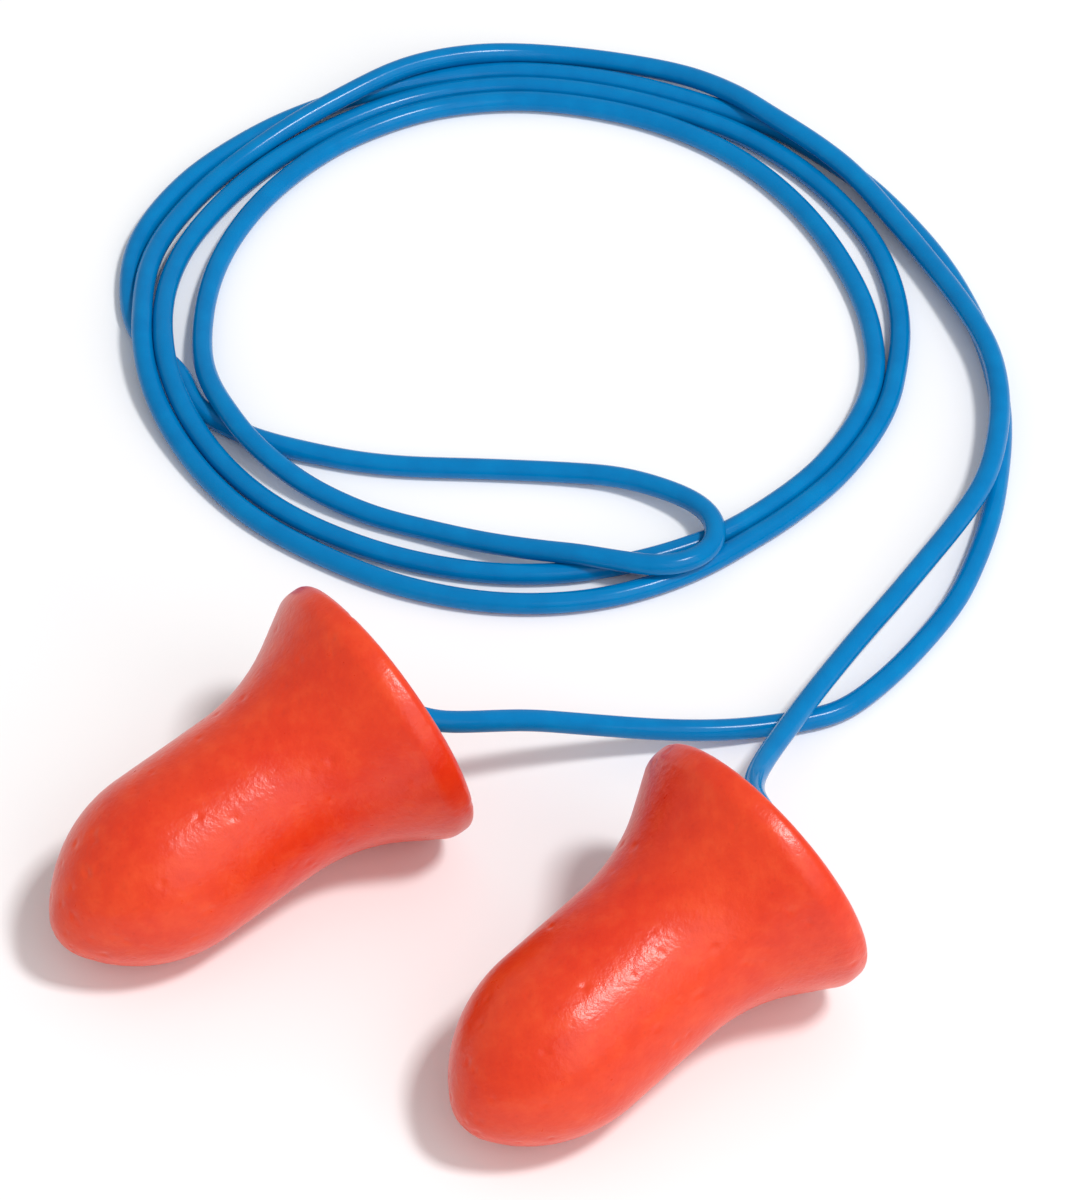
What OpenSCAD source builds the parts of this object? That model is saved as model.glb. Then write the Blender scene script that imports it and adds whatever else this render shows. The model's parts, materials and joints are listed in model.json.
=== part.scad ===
// A pair of bell-shaped foam ear plugs joined by one thin cord that lies in a loose coil.
// Millimetres, +Z up. Everything rests on z = 0, and the origin is under the middle of the
// two plugs. Each plug lies on its side, on its flange and its body, with its nose to -Y.

/* [Foam plug] */
// Length from the back face to the tip of the nose
plug_length = 23.6; // [22:0.2:28]
// Diameter across the flared flange
flange_d = 17; // [14:0.5:17.5]
// Diameter of the straight body that goes into the ear canal
body_d = 11; // [10.5:0.5:13]
// Radius that rounds the flange's rim towards the nose
rim_r = 1.6; // [1.2:0.1:1.8]
// Distance from the back face to the middle of that rounding
rim_z = 1; // [0.8:0.1:1.1]
// Radius of the edge between the rim and the back face
back_edge_r = 0.6; // [0.3:0.1:0.8]
// Distance from the back face to the front end of the flare
flare_length = 9.5; // [9.5:0.5:11]
// Radius of the hollow curve between the flange and the body
flare_r = 11; // [6:0.5:11]
// Distance from the back face to where the nose starts to round
nose_start = 15.6; // [14:0.2:17]
// Radius at the tip of the nose
nose_tip_r = 2.7; // [1.5:0.1:3.5]
// Radius of the shallow dish in the back face
dish_r = 5.5; // [3:0.5:6]
// Depth of that dish
dish_depth = 1; // [0.5:0.1:1.5]

/* [Cord] */
// Diameter of the cord
cord_d = 1.3; // [1.1:0.1:1.5]
// Depth of the glued hole for the cord, from the bottom of the dish
socket_depth = 6; // [4:0.5:8]
// Thickness of the glue round the cord's end
glue_wall = 0.3; // [0.2:0.1:0.6]
// Clearance round the ball where the cord bends behind each plug
bend_clearance = 0.05; // [0.03:0.01:0.1]

/* [Layout] */
// Where the left plug's back face stands, from the origin along X
left_x = -3.6; // [-5:0.1:-3]
// The same, along Y
left_y = 11; // [10:0.1:12]
// How far the left plug's nose points round from -Y towards -X, in degrees
left_heading = 54; // [50:1:58]
// Where the right plug's back face stands, from the origin along X
right_x = 18; // [17:0.1:19]
// The same, along Y
right_y = -0.1; // [-1:0.1:0.5]
// How far the right plug's nose points round from -Y towards -X, in degrees
right_heading = 48; // [43:0.5:50]
// Centre of the coil along X
coil_x = 3.2; // [2:0.1:4]
// Centre of the coil along Y
coil_y = 48; // [47:0.1:49]
// Diameter across the outside of the coil
coil_outer_d = 49.6; // [49:0.2:51]
// Width of the band that the coil's turns lie in
coil_band = 6.2; // [5:0.2:7]
// Height of the coil, where its turns lie on each other
coil_height = 2.8; // [2.6:0.1:4]

/* [Hidden] */

foam_colour = [0.90, 0.31, 0.21];
glue_colour = [0.86, 0.83, 0.74];
cord_colour = [0.03, 0.48, 0.72];

flange_r = flange_d / 2;
body_r = body_d / 2;
cord_r = cord_d / 2;
socket_r = cord_r + glue_wall;
arc_steps = 14;
round_steps = 96;
tube_sides = 8;
overcut = 1;

// The hollow flare is an arc that meets the body at flare_length, and a straight cone joins it
// to the rounded rim. Points are [radius, distance from the back face].
back_edge_centre = [flange_r - back_edge_r, back_edge_r];
rim_centre = [flange_r - rim_r, rim_z];
flare_centre = [body_r + flare_r, flare_length];
rim_to_flare = flare_centre - rim_centre;
cone_normal = atan2(rim_to_flare[1], rim_to_flare[0])
    - acos((rim_r + flare_r) / norm(rim_to_flare));

// The nose is a long shoulder arc that runs into a small tip arc on the axis.
tip_centre = [0, plug_length - nose_tip_r];
shoulder_run = tip_centre[1] - nose_start;
shoulder_r = (pow(shoulder_run, 2) + pow(body_r, 2) - pow(nose_tip_r, 2))
    / (2 * (body_r - nose_tip_r));
shoulder_centre = [body_r - shoulder_r, nose_start];
shoulder_to_tip = tip_centre - shoulder_centre;
tip_angle = atan2(shoulder_to_tip[1], shoulder_to_tip[0]);

// The dish is part of a sphere whose centre is on the axis, behind the plug.
dish_sphere_r = (pow(dish_r, 2) + pow(dish_depth, 2)) / (2 * dish_depth);
dish_edge_angle = asin(dish_r / dish_sphere_r);

// A plug lies on the line that touches its rim and the shoulder of its nose, so it tips forward.
lean_run = nose_start - rim_centre[1];
lean_drop = shoulder_centre[0] - rim_centre[0];
plug_tilt = asin((rim_r - shoulder_r) / norm([lean_run, lean_drop])) - atan2(lean_drop, lean_run);
axis_height = rim_centre[1] * sin(plug_tilt) + rim_centre[0] * cos(plug_tilt) + rim_r;

// The cord's free stretches, as points on its centreline. A lead starts just behind its bend, comes
// down to the surface and runs into the coil; the right lead crosses over the left one. The
// bight's upper leg crosses the inside of the coil, from one side of it to the other.
low = cord_r;
over = 2;
left_route = [
    [-3, 10.9, 8.2], [-2.3, 10.8, 7.8], [-1.5, 10.8, 7.4], [-0.5, 10.9, 7], [1.6, 11.5, 6.3],
    [4.5, 12.5, 5.2], [7.1, 13.3, 3.9], [10.4, 14.1, 2.5], [13.9, 14.7, 1.4], [16.8, 15.2, 0.9],
    [19.9, 15.9, low], [23, 16.9, low], [25.7, 19.3, low], [28.2, 22.4, low], [30.2, 25.5, low],
    [31.5, 28.6, low], [32.5, 31.8, low], [33.1, 35, low], [33.5, 38.5, low], [33.5, 41.8, low],
    [32.9, 45.8, low], [31.6, 50, low], [30.1, 53.5, low], [27.5, 57.6, low], [25, 60.7, low],
    [20.1, 64.9, low]
];
right_route = [
    [18.3, 0.6, 8.5], [18.5, 1.3, 8.4], [18.4, 2.5, 8], [17.9, 4.4, 7.1], [17.5, 6.5, 5.7],
    [17.6, 8.8, 4.3], [18.4, 11.3, 3.3], [19.8, 14.2, 2.6], [21.6, 17.4, 2.2], [24.1, 21.3, over],
    [26.3, 24.4, over], [28.4, 27.5, over], [30.5, 30.7, over], [32.2, 33.9, over],
    [33.1, 37.4, over], [33.4, 41, over], [32.9, 44.8, over], [31.4, 48.8, over],
    [29.7, 52.2, over], [27.8, 55.6, over], [24.7, 60.2, over], [20.1, 64.5, over]
];
bight_route = [
    [-17.1, 43.6, low], [-16, 41.1, low], [-13.9, 39.3, low], [-12.1, 38.3, low],
    [-9.1, 37.3, low], [-5.9, 36.5, low], [-2.7, 36.1, low], [2.1, 35.9, low], [6.4, 35.6, low],
    [10, 35, 0.8], [13, 33.6, 1.4], [15, 32, over], [15.8, 30.2, 2.4], [15.5, 28.5, 2.5],
    [14, 27.3, 2.4], [12, 27, 2.3]
];

function arc(centre, r, from, to) = [
    for (i = [0 : arc_steps])
        let (a = from + (to - from) * i / arc_steps)
        centre + r * [cos(a), sin(a)]
];

function unit(v) = v / norm(v);

// Direction of a route at its point i: between its neighbours, or along its end stretch.
function heading(route, i) =
    unit(route[min(i + 1, len(route) - 1)] - route[max(i - 1, 0)]);

function ring_points(route, i) =
    let (
        along = heading(route, i),
        side = unit(cross(along, [0, 0, 1])),
        up = cross(side, along)
    )
    [for (k = [0 : tube_sides - 1])
        let (a = 360 * k / tube_sides)
        route[i] + cord_r * (cos(a) * side + sin(a) * up)];

module cord_tube(route) {
    rings = len(route);
    points = [for (i = [0 : rings - 1]) each ring_points(route, i)];
    walls = [
        for (i = [0 : rings - 2])
            for (k = [0 : tube_sides - 1])
                let (next = (k + 1) % tube_sides)
                [
                    i * tube_sides + k,
                    i * tube_sides + next,
                    (i + 1) * tube_sides + next,
                    (i + 1) * tube_sides + k
                ]
    ];
    first_cap = [for (k = [tube_sides - 1 : -1 : 0]) k];
    last_cap = [for (k = [0 : tube_sides - 1]) (rings - 1) * tube_sides + k];
    polyhedron(points, concat(walls, [first_cap, last_cap]), convexity = 10);
}

// Stands a piece that is drawn along +Z, back face at z = 0, where a plug lies.
module lay_down(x, y, nose_heading) {
    translate([x, y, axis_height])
        rotate([90 + plug_tilt, 0, -nose_heading])
            children();
}

module foam_plug() {
    dish = arc([0, dish_depth - dish_sphere_r], dish_sphere_r, 90, 90 - dish_edge_angle);
    back_edge = arc(back_edge_centre, back_edge_r, -90, 0);
    rim = arc(rim_centre, rim_r, 0, cone_normal);
    flare = arc(flare_centre, flare_r, cone_normal + 180, 180);
    shoulder = arc(shoulder_centre, shoulder_r, 0, tip_angle);
    tip = arc(tip_centre, nose_tip_r, tip_angle, 90);
    color(foam_colour)
        difference() {
            rotate_extrude($fn = round_steps)
                polygon(concat(dish, back_edge, rim, flare, shoulder, tip));
            translate([0, 0, -overcut])
                cylinder(r = socket_r, h = overcut + dish_depth + socket_depth, $fn = round_steps);
        }
}

module glue_bond() {
    cord_depth = socket_depth - glue_wall;
    color(glue_colour)
        translate([0, 0, dish_depth])
            difference() {
                cylinder(r = socket_r, h = socket_depth, $fn = round_steps);
                translate([0, 0, -overcut])
                    cylinder(r = cord_r, h = overcut + cord_depth, $fn = round_steps);
            }
}

// The cord's end runs from the bottom of its glued hole to just short of the bend.
module cord_end() {
    outer_end = cord_r + bend_clearance;
    color(cord_colour)
        translate([0, 0, outer_end])
            cylinder(
                r = cord_r,
                h = dish_depth + socket_depth - glue_wall - outer_end,
                $fn = round_steps
            );
}

// The bend is a ball of the cord's own diameter, in the middle of the back face's plane. The plug
// swings sideways and lifts its nose about the centre of that ball.
module cord_bend() {
    color(cord_colour)
        sphere(r = cord_r, $fn = round_steps);
}

module cord_coil() {
    color(cord_colour)
        translate([coil_x, coil_y, 0])
            rotate_extrude($fn = round_steps)
                translate([coil_outer_d / 2 - coil_band, 0])
                    square([coil_band, coil_height]);
}

module left_foam_plug() lay_down(left_x, left_y, left_heading) foam_plug();
module right_foam_plug() lay_down(right_x, right_y, right_heading) foam_plug();
module left_glue_bond() lay_down(left_x, left_y, left_heading) glue_bond();
module right_glue_bond() lay_down(right_x, right_y, right_heading) glue_bond();
module left_cord_end() lay_down(left_x, left_y, left_heading) cord_end();
module right_cord_end() lay_down(right_x, right_y, right_heading) cord_end();
module left_cord_bend() lay_down(left_x, left_y, left_heading) cord_bend();
module right_cord_bend() lay_down(right_x, right_y, right_heading) cord_bend();
module left_cord_lead() color(cord_colour) cord_tube(left_route);
module right_cord_lead() color(cord_colour) cord_tube(right_route);
module cord_bight() color(cord_colour) cord_tube(bight_route);

left_foam_plug();
right_foam_plug();
left_glue_bond();
right_glue_bond();
left_cord_end();
right_cord_end();
left_cord_bend();
right_cord_bend();
left_cord_lead();
right_cord_lead();
cord_bight();
cord_coil();
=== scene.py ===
import json
import math

import bpy
import numpy as np
from mathutils import Matrix, Vector, noise


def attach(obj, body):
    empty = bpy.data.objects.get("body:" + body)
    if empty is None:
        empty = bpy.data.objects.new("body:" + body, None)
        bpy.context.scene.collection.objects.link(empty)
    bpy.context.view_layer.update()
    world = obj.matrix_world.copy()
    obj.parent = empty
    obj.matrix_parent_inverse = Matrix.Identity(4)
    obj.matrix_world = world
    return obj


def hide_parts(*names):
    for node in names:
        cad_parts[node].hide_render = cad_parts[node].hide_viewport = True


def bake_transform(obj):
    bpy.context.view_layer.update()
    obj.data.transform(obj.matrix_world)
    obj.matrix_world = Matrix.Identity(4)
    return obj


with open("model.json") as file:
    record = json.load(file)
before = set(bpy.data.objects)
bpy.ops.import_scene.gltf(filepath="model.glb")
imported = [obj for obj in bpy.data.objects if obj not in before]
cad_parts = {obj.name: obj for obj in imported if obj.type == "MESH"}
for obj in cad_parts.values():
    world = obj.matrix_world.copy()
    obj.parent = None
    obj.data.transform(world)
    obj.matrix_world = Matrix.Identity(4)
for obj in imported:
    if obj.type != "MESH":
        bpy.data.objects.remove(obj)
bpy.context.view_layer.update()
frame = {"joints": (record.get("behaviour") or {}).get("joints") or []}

MM = 0.001

# ---------------------------------------------------------------- camera

# VIEW_WIDTH is what the picture spans from side to side at the target.
TARGET = Vector((4.7, 26, 0)) * MM
CAMERA_ELEVATION = math.radians(50)
CAMERA_DISTANCE = 400 * MM
VIEW_WIDTH = 64.16 * MM
SENSOR_WIDTH = 36
CLIP_START = 10 * MM
CLIP_END = 20


def make_camera():
    """A long lens that looks along +Y and down at the middle of the cord and plugs."""
    data = bpy.data.cameras.new("camera")
    data.sensor_fit = "HORIZONTAL"
    data.sensor_width = SENSOR_WIDTH
    data.lens = SENSOR_WIDTH * CAMERA_DISTANCE / VIEW_WIDTH
    data.clip_start = CLIP_START
    data.clip_end = CLIP_END
    camera = bpy.data.objects.new("camera", data)
    bpy.context.scene.collection.objects.link(camera)
    back = Vector((0, -math.cos(CAMERA_ELEVATION), math.sin(CAMERA_ELEVATION)))
    camera.location = TARGET + CAMERA_DISTANCE * back
    camera.rotation_euler = (math.pi / 2 - CAMERA_ELEVATION, 0, 0)
    bpy.context.scene.camera = camera


# ---------------------------------------------------------------- meshes

def mesh_object(name, vertices, faces, material, flat=()):
    """A new smooth-shaded mesh object; the faces whose numbers are in flat stay flat."""
    mesh = bpy.data.meshes.new(name)
    mesh.from_pydata([tuple(v) for v in vertices], [], faces)
    mesh.polygons.foreach_set("use_smooth", [True] * len(mesh.polygons))
    for face in flat:
        mesh.polygons[face].use_smooth = False
    mesh.update()
    mesh.materials.append(material)
    piece = bpy.data.objects.new(name, mesh)
    bpy.context.scene.collection.objects.link(piece)
    return piece


def wall_faces(rings, sides):
    """Quads between rings of points, each ring joined to the next and closed round."""
    return [
        (
            ring * sides + side,
            ring * sides + (side + 1) % sides,
            (ring + 1) * sides + (side + 1) % sides,
            (ring + 1) * sides + side,
        )
        for ring in range(rings - 1)
        for side in range(sides)
    ]


# ---------------------------------------------------------------- cord

CORD_D = 1.3 * MM
CORD_R = CORD_D / 2
CORD_SIDES = 20

# From each mouth, how far along the cord a plug's inner tail and its outer tail end.
OUTER_TAIL = 18 * MM
INNER_TAIL = 6 * MM

# Heights of the centreline in mm: on the table, and on another stretch of the cord.
LOW = 0.65
OVER = 2

# The free stretches of the cord, in mm, as points on its centreline. A lead starts just behind
# its plug and runs into the coil; the bight is the bend at the middle of the cord, across the coil.
LEFT_ROUTE = [
    (-3, 10.9, 8.2), (-2.3, 10.8, 7.8), (-1.5, 10.8, 7.4), (-0.5, 10.9, 7), (1.6, 11.5, 6.3),
    (4.5, 12.5, 5.2), (7.1, 13.3, 3.9), (10.4, 14.1, 2.5), (13.9, 14.7, 1.4), (16.8, 15.2, 0.9),
    (19.9, 15.9, LOW), (23, 16.9, LOW), (25.7, 19.3, LOW), (28.2, 22.4, LOW), (30.2, 25.5, LOW),
    (31.5, 28.6, LOW), (32.5, 31.8, LOW), (33.1, 35, LOW), (33.5, 38.5, LOW), (33.5, 41.8, LOW),
    (32.9, 45.8, LOW), (31.6, 50, LOW), (30.1, 53.5, LOW), (27.5, 57.6, LOW), (25, 60.7, LOW),
    (20.1, 64.9, LOW),
]
RIGHT_ROUTE = [
    (18.3, 0.6, 8.5), (18.5, 1.3, 8.4), (18.4, 2.5, 8), (17.9, 4.4, 7.1), (17.5, 6.5, 5.7),
    (17.6, 8.8, 4.3), (18.4, 11.3, 3.3), (19.8, 14.2, 2.6), (21.6, 17.4, 2.2), (24.1, 21.3, OVER),
    (26.3, 24.4, OVER), (28.4, 27.5, OVER), (30.5, 30.7, OVER), (32.2, 33.9, OVER),
    (33.1, 37.4, OVER), (33.4, 41, OVER), (32.9, 44.8, OVER), (31.4, 48.8, OVER),
    (29.7, 52.2, OVER), (27.8, 55.6, OVER), (24.7, 60.2, OVER), (20.1, 64.5, OVER),
]
BIGHT_ROUTE = [
    (-17.1, 43.6, LOW), (-16, 41.1, LOW), (-13.9, 39.3, LOW), (-12.1, 38.3, LOW),
    (-9.1, 37.3, LOW), (-5.9, 36.5, LOW), (-2.7, 36.1, LOW), (2.1, 35.9, LOW), (6.4, 35.6, LOW),
    (10, 35, 0.8), (13, 33.6, 1.4), (15, 32, OVER), (15.8, 30.2, 2.4), (15.5, 28.5, 2.5),
    (14, 27.3, 2.4), (12, 27, 2.3),
]

# The coil's passes round its centre: the distance from the centre in mm at every 15 degrees, and
# how far the cord is lifted there by what it lies on, in cord diameters. Seen from above, the
# first pass runs anticlockwise from its starting angle and the wound ones clockwise from theirs.
COIL_CENTRE = (3.2, 48)
COIL_STEP = 15
FIRST_PASS_START = 60
FIRST_PASS = [
    (22.4, 0), (21.9, 0), (21.8, 0), (21.8, 0), (22.1, 0), (22.8, 0), (23.8, 0), (24.3, 0),
    (23.3, 0),
]
WOUND_START = 285
INNER_PASS = [
    (21, 1.1), (18.8, 0.4), (17.8, 0), (18, 0), (18.6, 0.2), (19.1, 1), (19.3, 0.6), (19, 0),
    (18.9, 0), (18.8, 0), (18.8, 0), (19, 0), (19.2, 0), (19.3, 0), (19.4, 0), (19.8, 0),
    (20.3, 0), (20.8, 0), (21.5, 0), (22.5, 0), (23.3, 0),
]
MIDDLE_PASS = [
    (23, 0), (22.1, 0), (21.3, 0), (20.8, 0), (20.5, 0), (20.3, 0), (20.4, 0), (20.8, 0),
    (21.2, 0.3), (21.5, 1), (21.5, 0.7), (21.3, 0), (20.8, 0), (20.4, 0), (20.2, 0), (20.4, 0),
    (20.6, 0), (20.8, 0), (21.3, 0), (22.2, 0), (23.1, 0), (24, 0), (24.4, 0.5), (24.2, 1),
]
OUTER_PASS = [
    (23.5, 0.6), (23, 0), (23.1, 0), (23.1, 0), (22.8, 0), (22.4, 0), (22.1, 0), (22.3, 0.6),
    (22.5, 0.4), (22.8, 1), (22.8, 1), (22.9, 0.3), (22.4, 0.2), (21.7, 0.7), (21.4, 1),
    (22.2, 0.7), (23, 0), (23.5, 0), (23.8, 0.3),
]

# Distance between the points that settle, and between the rings of the finished tube.
LINE_STEP = 0.5 * MM
RING_STEP = 0.8 * LINE_STEP

# The cord sinks a little at each of the first share of its steps. A step keeps part of its
# sideways slide, averaged along the line, and the finished line is averaged once more.
SETTLE_STEPS = 160
SINKING_SHARE = 0.75
SINK = 0.03 * MM
SLIDE_KEPT = 0.8
SLIDE_SOFTENING = 3
LINE_SOFTENING = 4

# Points near an end and high above the table are held, and are drawn back to the route.
HELD_LENGTH = 35 * MM
HELD_HEIGHT = 1.5 * CORD_D
HOLD_PULL = 0.5

# Pairs of points that may touch are listed afresh every few steps. Points closer along the line
# than NEIGHBOUR_LENGTH are neighbours, and a push moves each of a pair by PUSH_SHARE of the overlap.
PAIRS_EVERY = 8
PAIR_REACH = 1.6 * CORD_D
NEIGHBOUR_LENGTH = 2.2 * CORD_D
PUSH_SHARE = 0.4
PUSHES = 2

# Spans, in points, over which a bent cord feels its stiffness, and what its spring is divided by.
STIFF_SPANS = (1, 2, 4, 8)
STIFF_DIVISOR = 40


def coil_points(passes, start, step):
    """Points in mm that go round the coil's centre in equal steps of angle."""
    points = []
    for count, (radius, lift) in enumerate(passes):
        angle = math.radians(start + step * count)
        points.append((
            COIL_CENTRE[0] + radius * math.cos(angle),
            COIL_CENTRE[1] + radius * math.sin(angle),
            LOW + lift * CORD_D / MM,
        ))
    return points


def smooth_curve(points, per_span=10):
    """A Catmull-Rom curve through the points."""
    ends = 2 * points[0] - points[1], 2 * points[-1] - points[-2]
    all_points = np.vstack([ends[0], points, ends[1]])
    t = np.linspace(0, 1, per_span, endpoint=False)[:, None]
    spans = []
    for i in range(1, len(all_points) - 2):
        before, here, after, beyond = all_points[i - 1:i + 3]
        spans.append(0.5 * (
            2 * here
            + (after - before) * t
            + (2 * before - 5 * here + 4 * after - beyond) * t ** 2
            + (3 * here - before - 3 * after + beyond) * t ** 3
        ))
    return np.vstack(spans + [points[-1]])


def lengths_along(line):
    """The distance along the line from its first point to each of its points."""
    steps = np.linalg.norm(np.diff(line, axis=0), axis=1)
    return np.concatenate([[0], np.cumsum(steps)])


def evenly(line, step):
    """The same line with its points an equal step apart."""
    along = lengths_along(line)
    places = np.linspace(0, along[-1], int(round(along[-1] / step)) + 1)
    return np.stack([np.interp(places, along, line[:, axis]) for axis in range(3)], 1)


def near_pairs(line, reach):
    """Numbers of the points that are within reach of each other but not neighbours on the line."""
    gap = math.ceil(NEIGHBOUR_LENGTH / LINE_STEP)
    apart_squared = ((line[:, None, :] - line[None, :, :]) ** 2).sum(2)
    first, second = np.nonzero(np.triu(apart_squared < reach ** 2, gap + 1))
    return first, second


def push_apart(line, first, second):
    """Moves the points of stretches that cut into each other most of the way to a diameter apart."""
    between = line[first] - line[second]
    apart = np.linalg.norm(between, axis=1)
    touch = apart < CORD_D
    first, second, between, apart = first[touch], second[touch], between[touch], apart[touch]
    push = between * (PUSH_SHARE * (CORD_D - apart) / apart)[:, None]
    moves = np.zeros_like(line)
    counts = np.zeros(len(line))
    for ends, sign in ((first, 1), (second, -1)):
        np.add.at(moves, ends, sign * push)
        np.add.at(counts, ends, 1)
    line += moves / np.maximum(counts, 1)[:, None]


def settle(line, held):
    """Lets the cord sink and slide off itself, near its route; held points keep close to theirs."""
    target = line.copy()
    for step in range(SETTLE_STEPS):
        if step % PAIRS_EVERY == 0:
            first, second = near_pairs(line, PAIR_REACH)
        if step < SINKING_SHARE * SETTLE_STEPS:
            line[~held, 2] -= SINK
        line[:, 2:] += stiffness(line[:, 2:])
        moved = softened(line - target, SLIDE_SOFTENING)
        line[:, :2] = target[:, :2] + SLIDE_KEPT * moved[:, :2]
        line[held] += HOLD_PULL * (target[held] - line[held])
        for _ in range(PUSHES):
            push_apart(line, first, second)
            line[:, 2] = np.maximum(line[:, 2], CORD_R)
    return softened(line, LINE_SOFTENING)


def stiffness(heights):
    """How a bent cord springs back, felt over short and longer stretches of it."""
    spring = np.zeros_like(heights)
    for span in STIFF_SPANS:
        middle = heights[2 * span:-2 * span]
        beside = heights[span:-3 * span] + heights[3 * span:-span]
        beyond = heights[:-4 * span] + heights[4 * span:]
        spring[2 * span:-2 * span] += (4 * beside - 6 * middle - beyond) / STIFF_DIVISOR
    return spring


def softened(values, passes):
    """The values averaged with their neighbours along the line; the ends stay."""
    for _ in range(passes):
        middle = 0.25 * values[:-2] + 0.5 * values[1:-1] + 0.25 * values[2:]
        values = np.vstack([values[:1], middle, values[-1:]])
    return values


def cord_line(left_socket, right_socket):
    """The whole cord's centreline, from inside the left plug to inside the right plug."""
    points = LEFT_ROUTE + coil_points(FIRST_PASS, FIRST_PASS_START, COIL_STEP)
    points += BIGHT_ROUTE
    points += coil_points(INNER_PASS + MIDDLE_PASS + OUTER_PASS, WOUND_START, -COIL_STEP)
    points += RIGHT_ROUTE[::-1]
    free = evenly(smooth_curve(np.array(points) * MM), LINE_STEP)
    along = lengths_along(free)
    near_end = np.minimum(along, along[-1] - along) < HELD_LENGTH
    held = near_end & (free[:, 2] > HELD_HEIGHT)
    held[[0, -1]] = True
    free = settle(free, held)
    whole = np.vstack([left_socket, free, right_socket])
    return evenly(smooth_curve(whole, per_span=4), RING_STEP)


def cord_rings(line):
    """A ring of points round each point of the line."""
    along = np.gradient(line, axis=0)
    along /= np.linalg.norm(along, axis=1)[:, None]
    side = np.cross(along, (0, 0, 1))
    side /= np.linalg.norm(side, axis=1)[:, None]
    up = np.cross(side, along)
    turn = np.linspace(0, 2 * math.pi, CORD_SIDES, endpoint=False)
    return (
        line[:, None, :]
        + CORD_R * np.cos(turn)[None, :, None] * side[:, None, :]
        + CORD_R * np.sin(turn)[None, :, None] * up[:, None, :]
    )


def tube(name, rings, material):
    """A tube through the rings, closed at both ends."""
    faces = wall_faces(len(rings), CORD_SIDES)
    first_cap = len(rings) * CORD_SIDES
    last_cap = first_cap + CORD_SIDES
    faces.append(tuple(reversed(range(first_cap, last_cap))))
    faces.append(tuple(range(last_cap, last_cap + CORD_SIDES)))
    points = np.vstack([*rings, rings[0], rings[-1]])
    caps = (len(faces) - 2, len(faces) - 1)
    return mesh_object(name, points, faces, material, flat=caps)


def make_tails(plug, towards_middle, line, rings, material):
    """A plug's two tails of cord, and the number of the ring where they meet the free cord."""
    along = lengths_along(line)
    mouth = int(np.argmin(np.linalg.norm(line - plug.mouth, axis=1)))
    inner, outer = [
        int(np.argmin(abs(along - along[mouth] - towards_middle * length)))
        for length in (INNER_TAIL, OUTER_TAIL)
    ]
    first, last = sorted((inner, outer))
    outer_tail = tube(f"{plug.side}_cord_tail_outer", rings[first:last + 1], material)
    inner_rings = rings[:inner + 1] if towards_middle > 0 else rings[inner:]
    inner_tail = tube(f"{plug.side}_cord_tail_inner", inner_rings, material)
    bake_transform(outer_tail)
    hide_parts(f"{plug.side}_cord_bend")
    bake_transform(inner_tail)
    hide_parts(f"{plug.side}_cord_end")
    tails = [outer_tail, inner_tail]
    return tails, outer


def make_cord(plugs, material):
    """One cord: its free length, and at each plug two short tails."""
    left, right = plugs
    line = cord_line(left.socket_points(), right.socket_points()[::-1])
    rings = cord_rings(line)
    left_tails, first = make_tails(left, 1, line, rings, material)
    right_tails, last = make_tails(right, -1, line, rings, material)
    free = slice(first, last + 1)
    cord = tube("cord", rings[free], material)
    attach(cord, "cord")
    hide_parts("cord_coil", "cord_bight", "left_cord_lead", "right_cord_lead")


# ---------------------------------------------------------------- foam plugs

# Sizes of a foam plug. Lengths along it and the two depths are from its back face.
PLUG_LENGTH = 23.6 * MM
FLANGE_R = 8.5 * MM
BODY_R = 5.5 * MM
RIM_R = 1.6 * MM
RIM_Z = 1 * MM
BACK_EDGE_R = 0.6 * MM
FLARE_LENGTH = 9.5 * MM
FLARE_R = 11 * MM
NOSE_START = 15.6 * MM
NOSE_TIP_R = 2.7 * MM
DISH_R = 5.5 * MM
DISH_DEPTH = 1 * MM

# The hole for the cord's end, from the back face, and how far short of its bottom the cord stops.
SOCKET_R = 0.9 * MM
SOCKET_DEPTH = 5.5 * MM
SOCKET_GAP = 0.5 * MM

# Points in each ring round a plug, and the distance between rings along its outline.
FOAM_SIDES = 320
FOAM_STEP = 0.13 * MM

# The skin's unevenness as (size of a lump, its depth). The lumps are shifted by up to
# LUMP_OFFSET times their size, by chance, so that the plugs differ; FIRST_SEED is the left plug's.
FOAM_LUMPS = ((5 * MM, 0.03 * MM), (1.4 * MM, 0.006 * MM), (0.4 * MM, 0.007 * MM))
LUMP_OFFSET = 50
FIRST_SEED = 3

# The shallow pits pressed into the skin: their number, their least and greatest width in mm, and
# their depth and spread as shares of the width.
PIT_COUNT = 170
PIT_WIDTHS = (0.22, 0.42)
PIT_DEPTH = 0.16
PIT_SPREAD = 0.6

# Outline of the bead of glue, in mm, as (radius, distance from the back face).
GLUE_OUTLINE = [
    (0.62, 3), (0.62, 0.6), (0.7, 0.62), (0.82, 0.75), (1.05, 0.86), (1.35, 0.93),
    (1.6, 0.98), (1.3, 1.2), (0.9, 1.6), (0.9, 3),
]
GLUE_SIDES = 64

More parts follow.
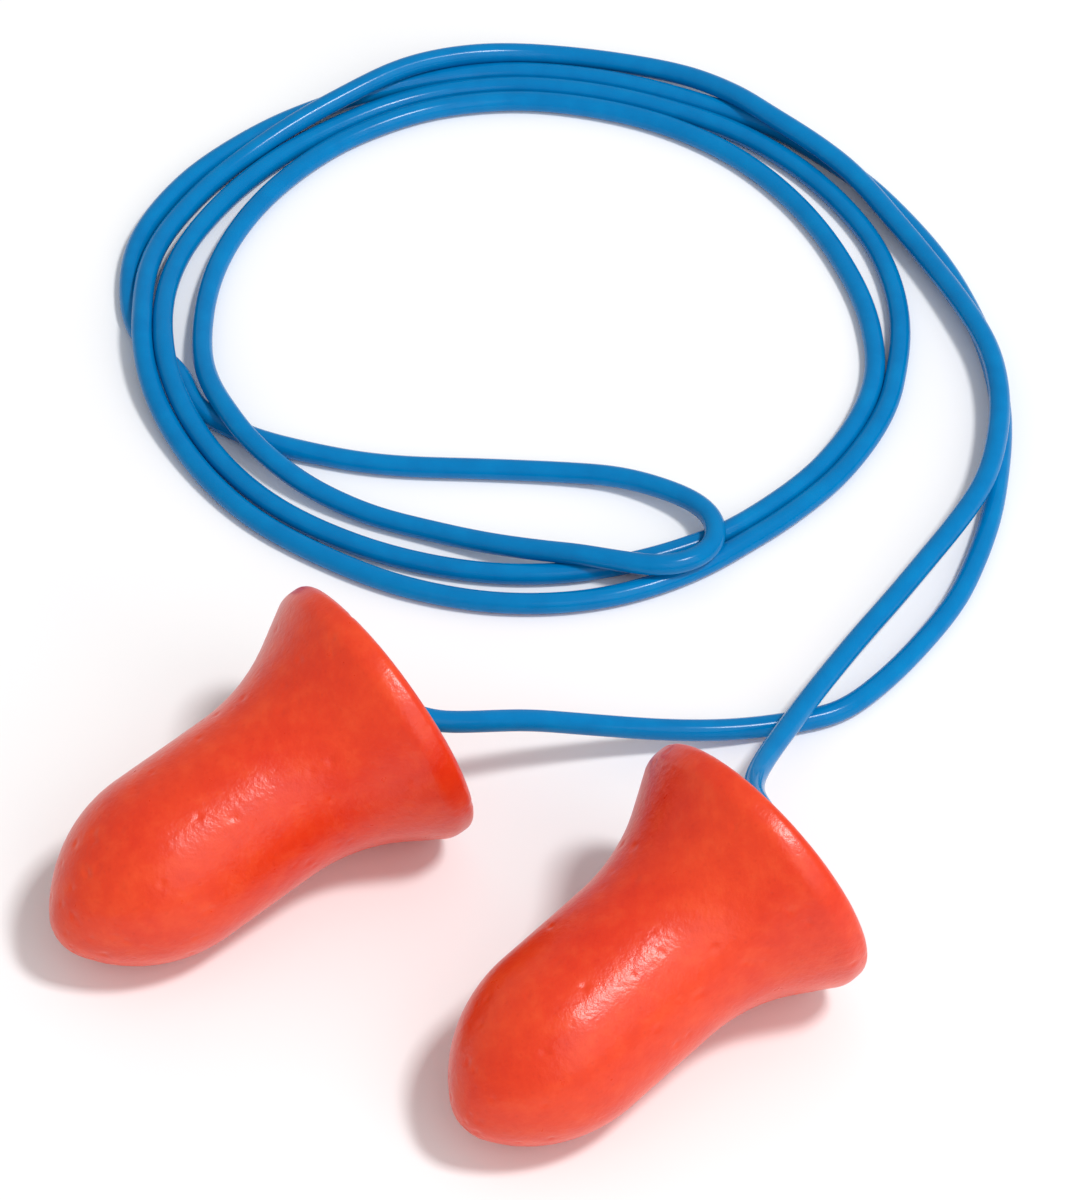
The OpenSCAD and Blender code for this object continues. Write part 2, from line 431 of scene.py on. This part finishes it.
# Outline of a plug, as (radius, distance from the back face). The hollow flare is an arc that
# meets the body at FLARE_LENGTH, and a straight cone joins it to the rounded rim. The nose is a
# long shoulder arc that runs into a small tip arc on the axis.
BACK_EDGE_CENTRE = (FLANGE_R - BACK_EDGE_R, BACK_EDGE_R)
RIM_CENTRE = (FLANGE_R - RIM_R, RIM_Z)
FLARE_CENTRE = (BODY_R + FLARE_R, FLARE_LENGTH)
RIM_TO_FLARE = (FLARE_CENTRE[0] - RIM_CENTRE[0], FLARE_CENTRE[1] - RIM_CENTRE[1])
CONE_NORMAL = math.atan2(RIM_TO_FLARE[1], RIM_TO_FLARE[0]) - math.acos(
    (RIM_R + FLARE_R) / math.hypot(*RIM_TO_FLARE)
)
TIP_CENTRE = (0, PLUG_LENGTH - NOSE_TIP_R)
SHOULDER_RUN = TIP_CENTRE[1] - NOSE_START
SHOULDER_R = (SHOULDER_RUN ** 2 + BODY_R ** 2 - NOSE_TIP_R ** 2) / (2 * (BODY_R - NOSE_TIP_R))
SHOULDER_CENTRE = (BODY_R - SHOULDER_R, NOSE_START)
TIP_ANGLE = math.atan2(TIP_CENTRE[1] - NOSE_START, -SHOULDER_CENTRE[0])
DISH_SPHERE_R = (DISH_R ** 2 + DISH_DEPTH ** 2) / (2 * DISH_DEPTH)
DISH_CENTRE = (0, DISH_DEPTH - DISH_SPHERE_R)
DISH_EDGE = math.asin(DISH_R / DISH_SPHERE_R)
DISH_START = math.asin(SOCKET_R / DISH_SPHERE_R)

# A plug lies on the line that touches its rim and the shoulder of its nose, so it tips forward.
LEAN_RUN = NOSE_START - RIM_CENTRE[1]
LEAN_DROP = SHOULDER_CENTRE[0] - RIM_CENTRE[0]
PLUG_TILT = math.asin((RIM_R - SHOULDER_R) / math.hypot(LEAN_RUN, LEAN_DROP)) - math.atan2(
    LEAN_DROP, LEAN_RUN
)


def joint(name):
    """The frame's joint of that name."""
    return next(j for j in frame["joints"] if j["name"] == name)


class Plug:
    """Where one plug lies: its mouth is the middle of its back face, and +Z runs to its nose."""

    def __init__(self, side):
        lift = joint(f"{side}_plug_lift")
        self.side = side
        self.body = f"{side}_plug"
        self.bend = f"{side}_bend"
        self.mouth = np.array(lift["pos_m"])
        heading = math.atan2(lift["axis"][1], -lift["axis"][0])
        self.place = (
            Matrix.Translation(lift["pos_m"])
            @ Matrix.Rotation(-heading, 4, "Z")
            @ Matrix.Rotation(math.pi / 2 + PLUG_TILT, 4, "X")
        )

    def socket_points(self):
        """Points on the axis, from the cord's end in the socket to the bottom of the dish."""
        depths = np.linspace(SOCKET_DEPTH - SOCKET_GAP, DISH_DEPTH, 5)
        return np.array([self.place @ Vector((0, 0, depth)) for depth in depths])


def arc(centre, radius, start, end, steps=40):
    """Points along an arc of an outline, from one angle to another."""
    angles = np.linspace(start, end, steps)
    return np.stack([
        centre[0] + radius * np.cos(angles),
        centre[1] + radius * np.sin(angles),
    ], 1)


def plug_outline():
    """The outline in even steps, from the bottom of the socket round the outside to the tip."""
    quarter = math.pi / 2
    parts = [
        [(0, SOCKET_DEPTH), (SOCKET_R, SOCKET_DEPTH)],
        arc(DISH_CENTRE, DISH_SPHERE_R, quarter - DISH_START, quarter - DISH_EDGE),
        arc(BACK_EDGE_CENTRE, BACK_EDGE_R, -quarter, 0),
        arc(RIM_CENTRE, RIM_R, 0, CONE_NORMAL),
        arc(FLARE_CENTRE, FLARE_R, CONE_NORMAL + math.pi, math.pi),
        arc(SHOULDER_CENTRE, SHOULDER_R, 0, TIP_ANGLE),
        arc(TIP_CENTRE, NOSE_TIP_R, TIP_ANGLE, quarter),
    ]
    outline = np.vstack(parts)
    flat = np.column_stack([outline, np.zeros(len(outline))])
    return evenly(flat, FOAM_STEP)[:, :2]


def foam_relief(points, seed):
    """How far the foam's skin stands out at each point: soft lumps, grain and shallow pits."""
    rng = np.random.default_rng(seed)
    offset = Vector(rng.uniform(-LUMP_OFFSET, LUMP_OFFSET, 3))
    relief = np.array([
        sum(depth * noise.noise(Vector(p) / size + offset) for size, depth in FOAM_LUMPS)
        for p in points
    ])
    for centre in points[rng.integers(0, len(points), PIT_COUNT)]:
        width = rng.uniform(*PIT_WIDTHS) * MM
        away = np.linalg.norm(points - centre, axis=1)
        relief -= PIT_DEPTH * width * np.exp(-(away / (PIT_SPREAD * width)) ** 2)
    return relief


def foam_skin(outline, seed):
    """Uneven rings of points, one for each point of the outline but the two on the axis."""
    slope = np.gradient(outline, axis=0)
    slope /= np.linalg.norm(slope, axis=1)[:, None]
    turn = np.linspace(0, 2 * math.pi, FOAM_SIDES, endpoint=False)
    inner = outline[1:-1]
    normal_r, normal_z = slope[1:-1, 1], -slope[1:-1, 0]
    cos, sin = np.cos(turn)[None, :], np.sin(turn)[None, :]
    points = np.stack([
        inner[:, :1] * cos, inner[:, :1] * sin, np.repeat(inner[:, 1:], FOAM_SIDES, 1)
    ], 2).reshape(-1, 3)
    normals = np.stack([
        normal_r[:, None] * cos, normal_r[:, None] * sin,
        np.repeat(normal_z[:, None], FOAM_SIDES, 1),
    ], 2).reshape(-1, 3)
    return points + normals * foam_relief(points, seed)[:, None]


def make_plug(plug, material, seed):
    """One foam plug: its skin of rings, closed at the bottom of the socket and at the nose."""
    outline = plug_outline()
    points = foam_skin(outline, seed)
    rings = len(outline) - 2
    faces = [tuple(reversed(face)) for face in wall_faces(rings, FOAM_SIDES)]
    bottom, tip = len(points), len(points) + 1
    points = np.vstack([points, [(0, 0, outline[0, 1]), (0, 0, outline[-1, 1])]])
    last = (rings - 1) * FOAM_SIDES
    for side in range(FOAM_SIDES):
        after = (side + 1) % FOAM_SIDES
        faces.append((bottom, side, after))
        faces.append((tip, last + after, last + side))
    placed = [plug.place @ Vector(p) for p in points]
    piece = mesh_object(f"{plug.side}_foam", placed, faces, material)
    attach(piece, plug.body)
    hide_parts(f"{plug.side}_foam_plug")


def make_glue(plug, material):
    """The bead of glue that wells up round the cord at the bottom of the dish."""
    outline = np.array(GLUE_OUTLINE) * MM
    turn = np.linspace(0, 2 * math.pi, GLUE_SIDES, endpoint=False)
    points = [
        plug.place @ Vector((r * math.cos(a), r * math.sin(a), z))
        for r, z in outline
        for a in turn
    ]
    count = len(outline)
    faces = [
        tuple(v % (count * GLUE_SIDES) for v in face)
        for face in wall_faces(count + 1, GLUE_SIDES)
    ]
    piece = mesh_object(f"{plug.side}_glue_bead", points, faces, material)
    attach(piece, plug.body)
    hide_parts(f"{plug.side}_glue_bond")


# ---------------------------------------------------------------- materials

def srgb(red, green, blue):
    """A colour given as 0 to 255 per channel, in the linear values that shaders take."""
    linear = [
        c / 255 / 12.92 if c / 255 <= 0.04045 else ((c / 255 + 0.055) / 1.055) ** 2.4
        for c in (red, green, blue)
    ]
    return (*linear, 1)


# Which sockets of Blender's Mix node hold its factor, its two colours and its result.
COLOUR_MIX_INPUTS = (0, 6, 7)
COLOUR_MIX_OUTPUT = 2


class Nodes:
    """A material's node tree, with short calls that add and link nodes."""

    def __init__(self, name):
        self.material = bpy.data.materials.new(name)
        self.material.use_nodes = True
        self.tree = self.material.node_tree
        self.shader = self.tree.nodes["Principled BSDF"]
        self.coords = self.tree.nodes.new("ShaderNodeTexCoord").outputs["Object"]

    def link(self, output, node, socket):
        self.tree.links.new(output, node.inputs[socket])

    def noise(self, scale, detail, roughness=0.5):
        node = self.tree.nodes.new("ShaderNodeTexNoise")
        node.inputs["Scale"].default_value = scale
        node.inputs["Detail"].default_value = detail
        node.inputs["Roughness"].default_value = roughness
        self.link(self.coords, node, "Vector")
        return node.outputs["Fac"]

    def cells(self, scale):
        node = self.tree.nodes.new("ShaderNodeTexVoronoi")
        node.inputs["Scale"].default_value = scale
        self.link(self.coords, node, "Vector")
        return node.outputs["Distance"]

    def ramp(self, value, stops):
        node = self.tree.nodes.new("ShaderNodeValToRGB")
        while len(node.color_ramp.elements) < len(stops):
            node.color_ramp.elements.new(0.5)
        for element, (place, colour) in zip(node.color_ramp.elements, stops):
            element.position = place
            element.color = colour
        self.link(value, node, "Fac")
        return node.outputs["Color"]

    def mix(self, amount, first, second, blend_type="MIX"):
        node = self.tree.nodes.new("ShaderNodeMix")
        node.data_type = "RGBA"
        node.blend_type = blend_type
        factor, first_colour, second_colour = (node.inputs[i] for i in COLOUR_MIX_INPUTS)
        factor.default_value = amount
        self.tree.links.new(first, first_colour)
        self.tree.links.new(second, second_colour)
        return node.outputs[COLOUR_MIX_OUTPUT]

    def rescale(self, value, low, high):
        node = self.tree.nodes.new("ShaderNodeMapRange")
        node.inputs["To Min"].default_value = low
        node.inputs["To Max"].default_value = high
        self.link(value, node, "Value")
        return node.outputs["Result"]

    def bump(self, height, strength, distance, normal=None):
        node = self.tree.nodes.new("ShaderNodeBump")
        node.inputs["Strength"].default_value = strength
        node.inputs["Distance"].default_value = distance
        self.link(height, node, "Height")
        if normal is not None:
            self.link(normal, node, "Normal")
        return node.outputs["Normal"]

    def set(self, **values):
        for name, value in values.items():
            self.shader.inputs[name.replace("_", " ")].default_value = value


def foam_material():
    """Slow-recovery foam: a smooth, satin moulded skin, mottled, with a fine grain, and painted
    shade in its pores.
    """
    n = Nodes("coral_foam")
    mottle = n.ramp(n.noise(scale=800, detail=3, roughness=0.6), [
        (0.3, srgb(216, 45, 15)), (0.5, srgb(226, 57, 20)), (0.7, srgb(234, 76, 33)),
    ])
    patches = n.ramp(n.noise(scale=120, detail=2), [
        (0.35, srgb(218, 46, 15)), (0.65, srgb(232, 71, 29)),
    ])
    pores = n.cells(scale=1900)
    # Painted shade: the middles of the pores are darkened a little, multiplied into the colour.
    pore_painted_shade = n.ramp(pores, [(0.08, srgb(176, 22, 12)), (0.26, srgb(255, 255, 255))])
    colour = n.mix(0.5, mottle, patches)
    n.link(n.mix(0.08, colour, pore_painted_shade, "MULTIPLY"), n.shader, "Base Color")
    gloss = n.rescale(n.noise(scale=1300, detail=3), low=0.25, high=0.34)
    n.link(gloss, n.shader, "Roughness")
    grain_height = n.noise(scale=3000, detail=3, roughness=0.6)
    grain = n.bump(grain_height, strength=0.5, distance=0.06 * MM)
    pore_depth = n.ramp(pores, [(0.02, (0, 0, 0, 1)), (0.24, (1, 1, 1, 1))])
    skin = n.bump(pore_depth, strength=0.15, distance=0.03 * MM, normal=grain)
    n.link(skin, n.shader, "Normal")
    n.set(Subsurface_Weight=0.1, Subsurface_Scale=0.6 * MM, Specular_IOR_Level=0.42)
    n.shader.inputs["Subsurface Radius"].default_value = (1, 0.3, 0.2)
    return n.material


def cord_material():
    """Smooth extruded vinyl with a satin gloss and a faint mottle."""
    n = Nodes("blue_vinyl")
    colour = n.ramp(n.noise(scale=520, detail=4, roughness=0.6), [
        (0.25, srgb(0, 114, 176)), (0.5, srgb(0, 120, 183)), (0.75, srgb(0, 127, 189)),
    ])
    n.link(colour, n.shader, "Base Color")
    gloss = n.rescale(n.noise(scale=1100, detail=3), low=0.12, high=0.2)
    n.link(gloss, n.shader, "Roughness")
    skin = n.bump(n.noise(scale=1500, detail=3), strength=0.12, distance=0.04 * MM)
    n.link(skin, n.shader, "Normal")
    n.set(Specular_IOR_Level=0.14)
    return n.material


def glue_material():
    """Cured adhesive: pale cream, with light that spreads inside it."""
    n = Nodes("clear_glue")
    colour = n.ramp(n.noise(scale=900, detail=3), [
        (0.3, srgb(214, 206, 186)), (0.7, srgb(232, 226, 208)),
    ])
    n.link(colour, n.shader, "Base Color")
    gloss = n.rescale(n.noise(scale=700, detail=2), low=0.15, high=0.3)
    n.link(gloss, n.shader, "Roughness")
    n.set(Subsurface_Weight=0.3, Subsurface_Scale=0.5 * MM)
    return n.material


def floor_material():
    """A matt white table top."""
    n = Nodes("white_table")
    colour = n.ramp(n.noise(scale=40, detail=2), [
        (0.3, srgb(248, 248, 249)), (0.7, srgb(251, 251, 251)),
    ])
    n.link(colour, n.shader, "Base Color")
    n.set(Roughness=0.9, Specular_IOR_Level=0.1)
    return n.material


# ---------------------------------------------------------------- stage and light

FLOOR_SIZE = 6
WORLD_STRENGTH = 0.5


def make_floor():
    """The table top that the plugs and the cord lie on."""
    half = FLOOR_SIZE / 2
    corners = [(-half, -half, 0), (half, -half, 0), (half, half, 0), (-half, half, 0)]
    mesh_object("table_top", corners, [(0, 1, 2, 3)], floor_material())


def soft_light(name, towards, distance, size, watts):
    """A square soft box that stands in the given direction from the target and faces it."""
    data = bpy.data.lights.new(name, "AREA")
    data.shape = "SQUARE"
    data.size = size
    data.energy = watts
    light = bpy.data.objects.new(name, data)
    bpy.context.scene.collection.objects.link(light)
    direction = Vector(towards).normalized()
    light.location = TARGET + distance * direction
    light.rotation_euler = direction.to_track_quat("Z", "Y").to_euler()


def make_lights():
    """A small key light above for crisp highlights, a broad fill and a white world."""
    soft_light("key", towards=(0.38, -0.18, 0.9), distance=0.8, size=0.12, watts=3.5)
    soft_light("fill", towards=(0.45, -0.65, 0.6), distance=1, size=0.8, watts=2.5)
    world = bpy.data.worlds.new("studio")
    world.use_nodes = True
    background = world.node_tree.nodes["Background"]
    background.inputs["Color"].default_value = (1, 1, 1, 1)
    background.inputs["Strength"].default_value = WORLD_STRENGTH
    bpy.context.scene.world = world
    bpy.context.scene.view_settings.view_transform = "Standard"


# ---------------------------------------------------------------- the scene

make_camera()
plugs = Plug("left"), Plug("right")
make_cord(plugs, cord_material())
foam = foam_material()
glue = glue_material()
for seed, plug in enumerate(plugs, FIRST_SEED):
    make_plug(plug, foam, seed)
    make_glue(plug, glue)
make_floor()
make_lights()
